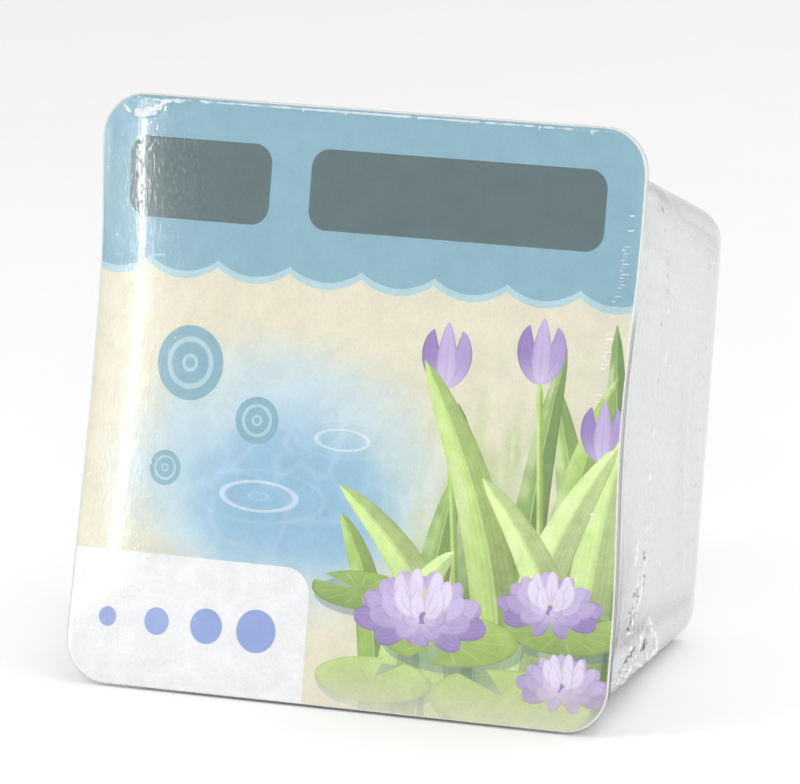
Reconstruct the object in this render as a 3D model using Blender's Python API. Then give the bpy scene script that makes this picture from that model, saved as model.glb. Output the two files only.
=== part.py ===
"""A sealed water plant kit: a white tapered pot, a printed square card that closes it, and clear shrink film.

The pack lies on its side. Its three pieces are modelled about the pot's own axis, with X across the card, Y from
the card's back towards the pot's base and Z up the card, and an empty then leans them back onto the ground.
Everything is in metres.
"""

import math

import bmesh
import bpy
import mathutils

# Driving dimensions
CARD_WIDTH = 0.150
CARD_THICKNESS = 0.0014
CARD_CORNER_RADIUS = 0.0115
POT_RIM_WIDTH = 0.1410
POT_BASE_WIDTH = 0.1105
POT_DEPTH = 0.0970
POT_WALL = 0.0012
RIM_CORNER_RADIUS = 0.0125
BASE_CORNER_RADIUS = 0.0085
FLANGE_REACH = 0.0030
FLANGE_THICKNESS = 0.0014
BASE_EDGE_ROUND = 0.0015
CURL_FADES = 0.0300
FOOT_INSET = 0.0060
FOOT_WIDTH = 0.0020
FOOT_HEIGHT = 0.0015
FILM_THICKNESS = 0.0003
CLEARANCE = 0.0003

# The card's warp: how far its edges leave the plane of its corners, where along them, and how far in
LEFT_CURL = 0.0045
LEFT_CURL_PEAK = 0.0250
LEFT_CURL_UPWARD = 0.0440
LEFT_CURL_DOWNWARD = 0.0940
LEFT_CURL_STARTS = 0.0350
RIGHT_BOW = 0.0040
RIGHT_BOW_PEAK = 0.0015
RIGHT_BOW_REACH = 0.0520
RIGHT_BOW_STARTS = 0.0250

# The film's vent holes: two columns on each of its left and right sides
VENT_RADIUS = 0.0004
VENT_PITCH = 0.0070
VENT_COUNT = 12
VENT_MIDDLE_UP = 0.0095
VENT_SIDES = 6
VENT_BEHIND_CARD = 0.0085
VENT_BEFORE_BASE = 0.0095
VENT_PIN_LENGTH = 0.0060

# How finely outlines are drawn
ARC_STEPS = 6
SIDE_STEPS = 8
FACE_RINGS = (0.34, 0.58, 0.74, 0.86, 0.94)

# Sizes that follow from them
CARD_HALF = CARD_WIDTH / 2
RIM_HALF = POT_RIM_WIDTH / 2
BASE_HALF = POT_BASE_WIDTH / 2
RIM_TOP = 2 * CLEARANCE
WALL_TOP_HALF = RIM_HALF - FLANGE_REACH
WALL_TOP_RADIUS = RIM_CORNER_RADIUS - FLANGE_REACH
FILM_OUTSIDE = CLEARANCE + FILM_THICKNESS
WRAP_FRONT = CARD_THICKNESS + FILM_OUTSIDE
WRAP_BACK = POT_DEPTH + FILM_OUTSIDE
WRAP_CARD_HALF = CARD_HALF + FILM_OUTSIDE
WRAP_BASE_HALF = BASE_HALF + FILM_OUTSIDE
LEAN = math.atan((WRAP_CARD_HALF - WRAP_BASE_HALF) / WRAP_BACK)


def clear_scene():
    """Remove whatever the file opened with."""
    for thing in list(bpy.data.objects):
        bpy.data.objects.remove(thing, do_unlink=True)


def outline(half, radius):
    """Points (across, up) round a square with rounded corners, anticlockwise."""
    points = []
    inner = half - radius
    for corner in range(4):
        turn = corner * math.pi / 2
        middle = math.pi / 4 + turn
        centre_x = inner * math.copysign(1.0, math.cos(middle))
        centre_z = inner * math.copysign(1.0, math.sin(middle))
        for step in range(ARC_STEPS + 1):
            angle = turn + step * (math.pi / 2) / ARC_STEPS
            points.append((centre_x + radius * math.cos(angle), centre_z + radius * math.sin(angle)))
        end_x, end_z = points[-1]
        along = turn + math.pi
        for step in range(1, SIDE_STEPS):
            run = 2 * inner * step / SIDE_STEPS
            points.append((end_x + run * math.cos(along), end_z + run * math.sin(along)))
    return points


def bump(distance, reach, power):
    """One at its peak, nothing beyond its reach."""
    if abs(distance) >= reach:
        return 0.0
    return math.cos(distance / reach * math.pi / 2) ** power


def left_curl(across, up):
    """How far the card, and the rim under it, have curled back near the left edge."""
    inward = max(0.0, (-across - LEFT_CURL_STARTS) / (CARD_HALF - LEFT_CURL_STARTS))
    from_peak = up - LEFT_CURL_PEAK
    if from_peak > 0:
        along = bump(from_peak, LEFT_CURL_UPWARD, 1.5)
    else:
        along = bump(from_peak, LEFT_CURL_DOWNWARD, 1.2)
    return LEFT_CURL * min(inward, 1.0) ** 2 * along


def card_back(across, up):
    """The depth of the card's rear face, which is zero at its corners."""
    inward = max(0.0, (across - RIGHT_BOW_STARTS) / (CARD_HALF - RIGHT_BOW_STARTS))
    bow = RIGHT_BOW * min(inward, 1.0) ** 2 * bump(up - RIGHT_BOW_PEAK, RIGHT_BOW_REACH, 2)
    return left_curl(across, up) - bow


def ring(half, radius, depth):
    """A level outline at one depth."""
    return [(x, depth, z) for x, z in outline(half, radius)]


def ring_on_card(half, radius, offset):
    """An outline that follows the card's warp, offset in depth from its rear face."""
    return [(x, card_back(x, z) + offset, z) for x, z in outline(half, radius)]


def rings_across_card(offset):
    """Outlines from near the card's middle to near its edge."""
    return [ring_on_card(CARD_HALF * share, CARD_CORNER_RADIUS * share, offset) for share in FACE_RINGS]


def loft(mesh, rings, first_centre, last_centre):
    """Join a centre point, a run of outlines and another centre point into one closed surface facing outwards."""
    faces = []
    rows = [[mesh.verts.new(point) for point in points] for points in rings]
    count = len(rows[0])
    start = mesh.verts.new(first_centre)
    end = mesh.verts.new(last_centre)
    for i in range(count):
        after = (i + 1) % count
        faces.append(mesh.faces.new((start, rows[0][i], rows[0][after])))
        for row, following in zip(rows, rows[1:]):
            faces.append(mesh.faces.new((row[i], following[i], following[after], row[after])))
        faces.append(mesh.faces.new((rows[-1][after], rows[-1][i], end)))
    bmesh.ops.recalc_face_normals(mesh, faces=faces)
    return faces


def add_object(name, mesh, parent, material):
    """Turn a finished bmesh into a named object in the leaning frame."""
    data = bpy.data.meshes.new(name)
    mesh.to_mesh(data)
    mesh.free()
    data.materials.append(material)
    data.shade_smooth()
    data.set_sharp_from_angle(angle=math.radians(35))
    piece = bpy.data.objects.new(name, data)
    bpy.context.collection.objects.link(piece)
    piece.parent = parent
    return piece


def make_material(name, colour, roughness, alpha=1.0):
    """A plain Principled finish."""
    material = bpy.data.materials.new(name)
    material.use_nodes = True
    shader = material.node_tree.nodes["Principled BSDF"]
    shader.inputs["Base Color"].default_value = (*colour, 1.0)
    shader.inputs["Roughness"].default_value = roughness
    shader.inputs["Metallic"].default_value = 0.0
    shader.inputs["Alpha"].default_value = alpha
    return material


def make_frame():
    """The empty that leans the pack back, so that its underside is level and its box is centred on X and Y."""
    frame = bpy.data.objects.new("pack_frame", None)
    bpy.context.collection.objects.link(frame)
    front = -WRAP_FRONT * math.cos(LEAN) - WRAP_CARD_HALF * math.sin(LEAN)
    back = WRAP_BACK * math.cos(LEAN) + WRAP_BASE_HALF * math.sin(LEAN)
    frame.rotation_euler = (-LEAN, 0.0, 0.0)
    frame.location = (0.0, -(front + back) / 2, WRAP_CARD_HALF * math.cos(LEAN))
    return frame


def wall_ring(depth, inwards=0.0):
    """The pot wall's outline at one depth, its outer face or some way inside it."""
    share = depth / POT_DEPTH
    half = WALL_TOP_HALF + (BASE_HALF - WALL_TOP_HALF) * share
    radius = WALL_TOP_RADIUS + (BASE_CORNER_RADIUS - WALL_TOP_RADIUS) * share
    return ring(half - inwards, radius - inwards, depth)


def curled(points):
    """An outline near the rim, carried back where the card above it has curled."""
    return [(x, depth + left_curl(x, z), z) for x, depth, z in points]


def make_pot(frame):
    """A hollow tapered tub with a flange that follows the curled card, and a foot ring round a raised base."""
    flange_back = RIM_TOP + FLANGE_THICKNESS
    outside_floor = POT_DEPTH - FOOT_HEIGHT
    inside_floor = outside_floor - POT_WALL
    foot_outer = BASE_HALF - FOOT_INSET
    foot_radius = BASE_CORNER_RADIUS - FOOT_INSET / 2
    rings = [
        wall_ring(inside_floor, POT_WALL),
        wall_ring(CURL_FADES, POT_WALL),
        curled(wall_ring(RIM_TOP, POT_WALL)),
        curled(ring(RIM_HALF, RIM_CORNER_RADIUS, RIM_TOP)),
        curled(ring(RIM_HALF, RIM_CORNER_RADIUS, flange_back)),
        curled(wall_ring(flange_back)),
        wall_ring(CURL_FADES),
        wall_ring(POT_DEPTH - BASE_EDGE_ROUND),
        ring(BASE_HALF - BASE_EDGE_ROUND, BASE_CORNER_RADIUS - BASE_EDGE_ROUND, POT_DEPTH),
        ring(foot_outer, foot_radius, POT_DEPTH),
        ring(foot_outer - FOOT_WIDTH, foot_radius, outside_floor),
    ]
    mesh = bmesh.new()
    loft(mesh, rings, (0.0, inside_floor, 0.0), (0.0, outside_floor, 0.0))
    white = make_material("pot_plastic", (0.80, 0.81, 0.80), 0.55)
    return add_object("pot", mesh, frame, white)


def make_lid_card(frame):
    """A board of even thickness that carries the warp of its edges."""
    back = rings_across_card(0.0)
    back.append(ring_on_card(CARD_HALF, CARD_CORNER_RADIUS, 0.0))
    front = rings_across_card(-CARD_THICKNESS)
    front.append(ring_on_card(CARD_HALF, CARD_CORNER_RADIUS, -CARD_THICKNESS))
    mesh = bmesh.new()
    loft(mesh, back + front[::-1], (0.0, 0.0, 0.0), (0.0, -CARD_THICKNESS, 0.0))
    board = make_material("card_board", (0.42, 0.60, 0.66), 0.60)
    return add_object("lid_card", mesh, frame, board)


def film_surface(mesh, offset):
    """The film's shape at one distance from what it wraps: over the card, back to the base, and across it."""
    front = -CARD_THICKNESS - offset
    half = CARD_HALF + offset
    radius = CARD_CORNER_RADIUS + offset
    base_half = BASE_HALF + offset
    base_radius = BASE_CORNER_RADIUS + offset
    rings = rings_across_card(front)
    rings.append(ring_on_card(half, radius, front))
    rings.append(ring_on_card(half, radius, 0.0))
    rings.append(ring(base_half, base_radius, POT_DEPTH + offset))
    return loft(mesh, rings, (0.0, front, 0.0), (0.0, POT_DEPTH + offset, 0.0))


def make_vent_cutter(frame, side):
    """The pins that pierce one side of the film in two columns."""
    mesh = bmesh.new()
    sideways = mathutils.Matrix.Rotation(math.pi / 2, 3, "Y")
    for depth in (VENT_BEHIND_CARD, POT_DEPTH - VENT_BEFORE_BASE):
        across = WRAP_CARD_HALF - depth * math.tan(LEAN)
        for index in range(VENT_COUNT):
            up = VENT_MIDDLE_UP + (index - (VENT_COUNT - 1) / 2) * VENT_PITCH
            made = bmesh.ops.create_cone(
                mesh,
                cap_ends=True,
                segments=VENT_SIDES,
                radius1=VENT_RADIUS,
                radius2=VENT_RADIUS,
                depth=VENT_PIN_LENGTH,
            )
            bmesh.ops.rotate(mesh, verts=made["verts"], matrix=sideways)
            bmesh.ops.translate(mesh, verts=made["verts"], vec=(side * across, depth, up))
    data = bpy.data.meshes.new("vent_pins")
    mesh.to_mesh(data)
    mesh.free()
    cutter = bpy.data.objects.new("vent_pins", data)
    bpy.context.collection.objects.link(cutter)
    cutter.parent = frame
    cutter.hide_render = True
    cutter.display_type = "WIRE"
    return cutter


def make_shrink_film(frame):
    """A thin clear shell round the card and the pot, opened by its vent holes."""
    mesh = bmesh.new()
    film_surface(mesh, FILM_OUTSIDE)
    inner = film_surface(mesh, CLEARANCE)
    bmesh.ops.reverse_faces(mesh, faces=inner)
    clear = make_material("clear_film", (0.93, 0.95, 0.96), 0.08, 0.18)
    film = add_object("shrink_film", mesh, frame, clear)
    for side in (-1, 1):
        cut = film.modifiers.new("vent_holes", "BOOLEAN")
        cut.operation = "DIFFERENCE"
        cut.solver = "EXACT"
        cut.object = make_vent_cutter(frame, side)
    return film


clear_scene()
pack_frame = make_frame()
make_pot(pack_frame)
make_lid_card(pack_frame)
make_shrink_film(pack_frame)
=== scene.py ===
"""A sealed water plant kit on its side: a white pot, a printed card lid and clear shrink film round both."""

import math

import bmesh
import bpy
import mathutils
import numpy as np
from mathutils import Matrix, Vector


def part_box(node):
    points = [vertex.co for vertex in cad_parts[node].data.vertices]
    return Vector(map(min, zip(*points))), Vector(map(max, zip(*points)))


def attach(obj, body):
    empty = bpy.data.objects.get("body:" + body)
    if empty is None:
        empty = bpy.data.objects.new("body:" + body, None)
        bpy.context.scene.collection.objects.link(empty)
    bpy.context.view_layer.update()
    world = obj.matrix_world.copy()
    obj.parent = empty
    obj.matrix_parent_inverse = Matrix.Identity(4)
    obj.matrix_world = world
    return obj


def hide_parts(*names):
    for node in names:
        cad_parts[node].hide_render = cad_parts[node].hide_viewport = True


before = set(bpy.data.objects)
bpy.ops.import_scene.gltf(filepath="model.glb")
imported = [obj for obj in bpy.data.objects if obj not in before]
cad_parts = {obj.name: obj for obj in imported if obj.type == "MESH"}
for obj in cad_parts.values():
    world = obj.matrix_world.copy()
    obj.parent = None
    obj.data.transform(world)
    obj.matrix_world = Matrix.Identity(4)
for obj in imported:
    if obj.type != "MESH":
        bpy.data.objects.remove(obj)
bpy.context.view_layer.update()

# The pot is one injection-moulded tub of white plastic, tapered so that it leaves its mould and stacks. Its
# walls carry rows of short slits, a thin flange runs round its mouth, and its base stands on a low foot. It
# is modelled about its own axis: X across the card, Y from the card to the base, Z up the card.
POT_RIM_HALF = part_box("pot")[1].x
POT_BASE_HALF = 0.05525
POT_DEPTH = 0.0970
POT_WALL = 0.0012
RIM_TOP = 0.0006
RIM_CORNER_RADIUS = 0.0125
FLANGE_REACH = 0.0030
FLANGE_THICKNESS = 0.0014
FLANGE_ROUND = 0.0004
BASE_ROUND = 0.0011
BASE_HUG = 0.0003
FOOT_INSET = 0.0045
FOOT_WIDTH = 0.0020
FOOT_HEIGHT = 0.0015
CORNER_STEPS = 6
SLITS_ACROSS = 27
SLIT_ROWS = 29
SLIT_MARGIN = 0.00105
SLIT_WALL = 0.00004
SLIT_SINK = 0.00015
SLITS_FROM = 0.0100
SLITS_TO = 0.0900
CARD_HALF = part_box("lid_card")[1].x
FILM_OUTSIDE = 0.0006
LEAN = math.atan((CARD_HALF - POT_BASE_HALF) / (POT_DEPTH + FILM_OUTSIDE))
CARD_THICKNESS = 0.0014
WRAP_FRONT = CARD_THICKNESS + FILM_OUTSIDE
WRAP_HALF = CARD_HALF + FILM_OUTSIDE
PACK_ORIGIN = (
    0.0,
    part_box("shrink_film")[0].y + WRAP_FRONT * math.cos(LEAN) + WRAP_HALF * math.sin(LEAN),
    WRAP_HALF * math.cos(LEAN),
)

# The warp that the film pulled into the card: its left edge curls back, and its right edge's middle bows out
LEFT_CURL = 0.0045
LEFT_CURL_PEAK = 0.0250
LEFT_CURL_UPWARD = 0.0440
LEFT_CURL_DOWNWARD = 0.0940
LEFT_CURL_STARTS = 0.0350
RIGHT_BOW = 0.0040
RIGHT_BOW_PEAK = 0.0015
RIGHT_BOW_REACH = 0.0520
RIGHT_BOW_STARTS = 0.0250
CURL_FADES = 0.0300


def held(value):
    """Hold numbers between 0 and 1."""
    return np.clip(value, 0, 1)


def bump(distance, reach, power):
    """One at its peak and nothing beyond its reach, for numbers or arrays."""
    inside = held(np.abs(distance) / reach)
    return np.cos(inside * math.pi / 2) ** power


def left_curl(across, up):
    """How far the card, and the rim under it, have curled back near the left edge."""
    inward = held((-across - LEFT_CURL_STARTS) / (CARD_HALF - LEFT_CURL_STARTS))
    from_peak = up - LEFT_CURL_PEAK
    upward = bump(from_peak, LEFT_CURL_UPWARD, 1.5)
    downward = bump(from_peak, LEFT_CURL_DOWNWARD, 1.2)
    return LEFT_CURL * inward**2 * np.where(from_peak > 0, upward, downward)


def card_back(across, up):
    """The depth of the card's rear face, which is zero at its corners."""
    inward = held((across - RIGHT_BOW_STARTS) / (CARD_HALF - RIGHT_BOW_STARTS))
    return left_curl(across, up) - RIGHT_BOW * inward**2 * bump(up - RIGHT_BOW_PEAK, RIGHT_BOW_REACH, 2)


def pick_only(piece):
    """Deselect everything but one piece."""
    bpy.ops.object.select_all(action="DESELECT")
    bpy.context.view_layer.objects.active = piece
    piece.select_set(True)


def rounded_plate(name, half, radius, depth, corner_steps, side_steps):
    """Add a square face at one depth, round its corners, divide its sides, and stay in edit mode."""
    bpy.ops.object.select_all(action="DESELECT")
    bpy.ops.mesh.primitive_plane_add(size=2 * half, location=(0, depth, 0), rotation=(math.pi / 2, 0, 0))
    plate = bpy.context.object
    plate.name = name
    bpy.ops.object.transform_apply(location=True, rotation=True, scale=True)
    bpy.ops.object.mode_set(mode="EDIT")
    bpy.ops.mesh.select_all(action="SELECT")
    bpy.ops.mesh.bevel(
        affect="VERTICES", offset=radius, segments=corner_steps, profile=0.5, clamp_overlap=False
    )
    select(plate, "EDGE", lambda edge: edge.calc_length() > half)
    bpy.ops.mesh.subdivide(number_cuts=side_steps - 1)
    return plate


def select(piece, kind, wanted):
    """Select in edit mode only the vertices, edges or faces that a rule picks."""
    bpy.ops.mesh.select_mode(type=kind)
    bpy.ops.mesh.select_all(action="DESELECT")
    mesh = bmesh.from_edit_mesh(piece.data)
    for part in {"VERT": mesh.verts, "EDGE": mesh.edges, "FACE": mesh.faces}[kind]:
        if wanted(part):
            part.select_set(True)
    mesh.select_flush_mode()
    bmesh.update_edit_mesh(piece.data)


def extrude_back(distance, scale=1.0):
    """Draw the selected face along the pack's axis and scale its outline."""
    bpy.ops.mesh.extrude_region_move(TRANSFORM_OT_translate={"value": (0, distance, 0)})
    bpy.ops.transform.resize(value=(scale, 1, scale), center_override=(0, 0, 0))


def close_to(value, target):
    """Whether two depths are the same, give or take a hundredth of a millimetre."""
    return abs(value - target) < 1e-5


def face_at(depth):
    """A rule that picks the one large face at a depth."""
    return lambda face: len(face.verts) > 8 and close_to(face.calc_center_median().y, depth)


def edge_along(depth):
    """A rule that picks the edges of an outline at a depth."""
    return lambda edge: all(close_to(vert.co.y, depth) for vert in edge.verts)


def places_of(piece):
    """The places of a mesh's vertices, one row each."""
    places = np.empty(len(piece.data.vertices) * 3)
    piece.data.vertices.foreach_get("co", places)
    return places.reshape(-1, 3)


def set_places(piece, places):
    """Put a mesh's vertices at new places."""
    piece.data.vertices.foreach_set("co", places.ravel())
    piece.data.update()


def lean_back(piece):
    """Lay the finished piece on the ground and put its place into its mesh."""
    pick_only(piece)
    piece.rotation_euler = (-LEAN, 0, 0)
    piece.location = PACK_ORIGIN
    bpy.ops.object.transform_apply(location=True, rotation=True, scale=True)


def smooth_by_angle(piece, degrees):
    """Shade a piece smooth, except across edges sharper than an angle."""
    pick_only(piece)
    bpy.ops.object.shade_smooth_by_angle(angle=math.radians(degrees))


def on_flat_wall(face):
    """Whether a face of the pot's wall lies between the rounded corners, where the slits are."""
    middle = face.calc_center_median()
    straight = max(abs(face.normal.x), abs(face.normal.z)) > 0.96
    outside = middle.x * face.normal.x + middle.z * face.normal.z > 0
    return straight and outside and len(face.verts) == 4 and SLITS_FROM < middle.y < SLITS_TO


def make_pot():
    """The tub: its flange, walls and foot drawn out of one face, then its mouth, its slits and its warp."""
    flange_back = RIM_TOP + FLANGE_THICKNESS
    wall_half = POT_RIM_HALF - FLANGE_REACH
    floor_back = POT_DEPTH - FOOT_HEIGHT
    floor_front = floor_back - POT_WALL
    base_depth = POT_DEPTH + BASE_HUG
    pot = rounded_plate("pot_tub", POT_RIM_HALF, RIM_CORNER_RADIUS, RIM_TOP, CORNER_STEPS, SLITS_ACROSS)
    select(pot, "FACE", face_at(RIM_TOP))
    extrude_back(FLANGE_THICKNESS)
    bpy.ops.mesh.inset(thickness=FLANGE_REACH)
    extrude_back(base_depth - flange_back, (POT_BASE_HALF + BASE_HUG) / wall_half)
    select(pot, "EDGE", edge_along(base_depth))
    bpy.ops.mesh.bevel(offset=BASE_ROUND, segments=4)
    select(pot, "FACE", face_at(base_depth))
    bpy.ops.mesh.inset(thickness=FOOT_INSET)
    bpy.ops.mesh.inset(thickness=FOOT_WIDTH, depth=-FOOT_HEIGHT)
    select(pot, "FACE", face_at(RIM_TOP))
    bpy.ops.mesh.inset(thickness=FLANGE_REACH + POT_WALL)
    mouth_half = wall_half - POT_WALL
    extrude_back(floor_front - RIM_TOP, (POT_BASE_HALF - POT_WALL) / mouth_half)
    bpy.ops.mesh.select_all(action="SELECT")
    bpy.ops.mesh.normals_make_consistent(inside=False)
    select(pot, "EDGE", lambda edge: abs(edge.verts[0].co.y - edge.verts[1].co.y) > POT_DEPTH / 2)
    bpy.ops.mesh.subdivide_edgering(number_cuts=SLIT_ROWS - 1, interpolation="LINEAR", smoothness=0)
    select(pot, "FACE", on_flat_wall)
    bpy.ops.mesh.inset(thickness=SLIT_MARGIN, use_individual=True)
    bpy.ops.mesh.inset(thickness=SLIT_WALL, depth=-SLIT_SINK, use_individual=True)
    select(pot, "EDGE", lambda edge: edge_along(RIM_TOP)(edge) or edge_along(flange_back)(edge))
    bpy.ops.mesh.bevel(offset=FLANGE_ROUND, segments=2)
    bpy.ops.object.mode_set(mode="OBJECT")
    places = places_of(pot)
    across, depth, up = places.T
    depth += left_curl(across, up) * held((CURL_FADES - depth) / CURL_FADES)
    set_places(pot, places)
    smooth_by_angle(pot, 30)
    lean_back(pot)
    return pot


pot = make_pot()
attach(pot, "root")
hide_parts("pot")

# The lid is a square of recycled board, die-cut with rounded corners and printed on its front. It lies on the
# pot's flange and overhangs it. Its drawing, in millimetres, is cut into the front face's mesh so that its
# lines are crisp at any size, and a finish shades each drawn shape from its own map.
BOARD_CORNER_RADIUS = 0.0115
BOARD_ROUND = ((0.00020, 0.0), (0.00006, 0.00006), (0.0, 0.00020))
MILLIMETRE = 0.001
# The loose points that let a flat face follow the card's warp: how far apart, and how far inside its outline
LATTICE = 4.0
LATTICE_MARGIN = 1.5
LEAF, PETAL, PAD, FLAT, SHADE = 1, 2, 3, 4, 5
BLADE_STEPS = 26
TEAL = (0.270, 0.470, 0.565)
PALE_TEAL = (0.480, 0.660, 0.720)
PERIWINKLE = (0.310, 0.410, 0.730)
SLATE = (0.105, 0.165, 0.170)
LEAF_GREEN = (0.400, 0.560, 0.140)
DEEP_GREEN = (0.170, 0.300, 0.095)
PALE_GREEN = (0.600, 0.740, 0.330)
VIOLET = (0.330, 0.230, 0.520)
LILAC = (0.560, 0.450, 0.720)
PALE_LILAC = (0.780, 0.700, 0.880)
POLLEN = (0.900, 0.720, 0.180)
WATER_SHADE = (0.080, 0.170, 0.260)
TAB_WHITE = (0.880, 0.880, 0.890)
SCALLOPS = 8


def rounded_square(half, radius, corner_steps, spacing):
    """Points round a square with rounded corners, anticlockwise."""
    points = []
    inner = half - radius
    side_steps = round(2 * inner / spacing)
    for corner in range(4):
        turn = mathutils.Matrix.Rotation(corner * math.pi / 2, 2)
        for step in range(corner_steps + 1):
            angle = step * math.pi / 2 / corner_steps
            place = mathutils.Vector((inner + radius * math.cos(angle), inner + radius * math.sin(angle)))
            points.append(turn @ place)
        for step in range(1, side_steps):
            points.append(turn @ mathutils.Vector((inner * (1 - 2 * step / side_steps), half)))
    return points


def mixed(first, second, share):
    """An ink between two others."""
    return tuple(a + (b - a) * share for a, b in zip(first, second))


def blade(root, bend, tip, width, ink, kind, rise=0.5, fall=0.9):
    """A leaf or a petal: a curved midrib, and a width that swells and closes to a point."""
    root, bend, tip = (np.array(place, float) for place in (root, bend, tip))
    share = np.linspace(0, 1, BLADE_STEPS)[:, None]
    rib = (1 - share) ** 2 * root + 2 * share * (1 - share) * bend + share**2 * tip
    along = np.gradient(rib, axis=0)
    along /= np.linalg.norm(along, axis=1)[:, None]
    aside = np.stack([-along[:, 1], along[:, 0]], axis=1)
    peak = rise / (rise + fall)
    swell = share**rise * (1 - share) ** fall / (peak**rise * (1 - peak) ** fall)
    half = width / 2 * swell
    outline = np.concatenate([rib - aside * half, (rib + aside * half)[-2:0:-1]])
    map_half = np.maximum(half[:, 0], width * 0.04)
    return {"outline": outline, "ink": ink, "kind": kind, "rib": rib, "aside": aside, "half": map_half}


def disc(centre, width, height, ink, kind, notch=None, notch_half=0.30, depth=0.0):
    """An ellipse, or a floating leaf where it has a notch that reaches towards its middle."""
    centre = np.array(centre, float)
    size = np.array((width / 2, height / 2))
    if notch is None:
        angles = np.linspace(0, 2 * math.pi, 48, endpoint=False)
        rim = np.stack([np.cos(angles), np.sin(angles)], axis=1)
    else:
        angles = np.linspace(notch + notch_half, notch - notch_half + 2 * math.pi, 48)
        middle = depth * np.array([[math.cos(notch), math.sin(notch)]])
        rim = np.concatenate([np.stack([np.cos(angles), np.sin(angles)], axis=1), middle])
    return {"outline": centre + rim * size, "ink": ink, "kind": kind, "centre": centre, "size": size}


def placed_on(shape, points):
    """Where points lie on a drawn shape: along and across a blade, or across and up a disc."""
    if "rib" not in shape:
        return (points - shape["centre"]) / shape["size"]
    away = points[:, None, :] - shape["rib"][None, :, :]
    nearest = np.argmin((away**2).sum(axis=2), axis=1)
    across = (away[np.arange(len(points)), nearest] * shape["aside"][nearest]).sum(axis=1)
    along = nearest / (BLADE_STEPS - 1)
    return np.stack([along, np.clip(across / shape["half"][nearest], -1, 1)], axis=1)


def rounded_box(low, high, radius, ink):
    """A flat label shape with rounded corners."""
    middle = (np.array(low, float) + high) / 2
    inner = (np.array(high, float) - low) / 2 - radius
    rim = []
    for step in range(40):
        angle = (step + 0.5) * 2 * math.pi / 40
        way = np.array((math.cos(angle), math.sin(angle)))
        rim.append(middle + np.copysign(inner, way) + radius * way)
    return {"outline": np.array(rim), "ink": ink, "kind": FLAT, "centre": middle, "size": inner + radius}


def scalloped_band(border, swell, ink):
    """The band across the top, whose lower border hangs in shallow scallops."""
    steps = np.linspace(0, 1, 20 * SCALLOPS + 1)
    hang = np.abs(np.sin(steps * SCALLOPS * math.pi)) ** 0.8
    lower = np.stack([-80 + 160 * steps, border - swell * hang], axis=1)
    outline = np.concatenate([lower, [(80, 80), (-80, 80)]])
    return {"outline": outline, "ink": ink, "kind": FLAT, "centre": np.zeros(2), "size": np.array((80, 80))}


# A bloom is four rings of petals seen from a little above, drawn from the back forwards, round a few stamens
BLOOM_RINGS = (
    (9, 1.00, 0.02, 0.36, VIOLET),
    (9, 0.84, 0.20, 0.33, mixed(VIOLET, LILAC, 0.6)),
    (8, 0.62, 0.38, 0.29, LILAC),
    (7, 0.36, 0.50, 0.24, PALE_LILAC),
)
BLOOM_FLATTENED = 0.42


def bloom(centre, size, turn):
    """An open bloom, from its farthest petals to its nearest."""
    shapes = []
    centre = np.array(centre, float)
    for ring, (count, reach, lift, width, ink) in enumerate(BLOOM_RINGS):
        angles = [turn + (index + ring / 2) * 2 * math.pi / count for index in range(count)]
        for angle in sorted(angles, key=lambda value: -math.sin(value)):
            out = np.array([math.cos(angle), BLOOM_FLATTENED * math.sin(angle)])
            root = centre + size * (0.10 * out + (0.0, 0.10 * lift))
            tip = centre + size * (reach * out + (0.0, lift))
            bend = (root + tip) / 2 + size * (0.16 * out - (0.0, 0.10))
            tone = mixed(ink, PALE_LILAC, 0.25 * (1 + math.sin(3 * angle + ring)) / 2)
            shapes.append(blade(root, bend, tip, size * width, tone, PETAL, 0.62, 0.52))
        if ring == 1:
            shapes.append(disc(centre + (0, 0.05 * size), size * 0.5, size * 0.3, VIOLET, FLAT))
        if ring == 2:
            for index in range(9):
                lean = (index / 8 - 0.5) * 0.42
                tip = centre + size * np.array([lean, 0.42 - 0.5 * abs(lean)])
                root = centre + size * np.array([lean * 0.3, 0.06])
                shapes.append(blade(root, (root + tip) / 2, tip, size * 0.05, POLLEN, FLAT, 0.3, 0.3))
    return shapes


def floating_leaf(centre, width, notch, ink):
    """A lily pad with its shade on the water under it."""
    x, y = centre
    height = width * 0.36
    return [
        disc((x + 1.2, y - 1.6), width * 1.03, height * 1.04, WATER_SHADE, SHADE),
        disc((x, y), width, height, ink, PAD, notch, 0.20, 0.12),
    ]


def closed_bloom(root, tip, size):
    """A closed bloom on a slender stem: three pointed petals, the middle one in front."""
    root, tip = np.array(root, float), np.array(tip, float)
    bend = (root + tip) / 2 + ((tip[0] - root[0]) * -0.35, 0)
    shapes = [blade(root, bend, tip, 1.9, LEAF_GREEN, LEAF, 0.05, 0.05)]
    for side, ink in ((-1, VIOLET), (1, mixed(VIOLET, LILAC, 0.5)), (0, LILAC)):
        top = tip + (side * 0.26 * size, size * (1.0 if side == 0 else 0.86))
        middle = tip + (side * 0.42 * size, size * 0.36)
        shapes.append(blade(tip - (0, 0.10 * size), middle, top, size * 0.36, ink, PETAL, 0.6, 0.8))
    return shapes


def tall_leaves(leaves, first, second):
    """Leaves that rise from below the card: where from, how far over, how high, how wide, and their tone."""
    shapes = []
    for side, over, top, wide, share in leaves:
        root = (side, -88)
        bend = (side - over * 0.30, top * 0.25 - 42)
        tone = mixed(first, second, share)
        shapes.append(blade(root, bend, (side + over, top), wide, tone, LEAF, 0.42, 0.62))
    return shapes


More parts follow.
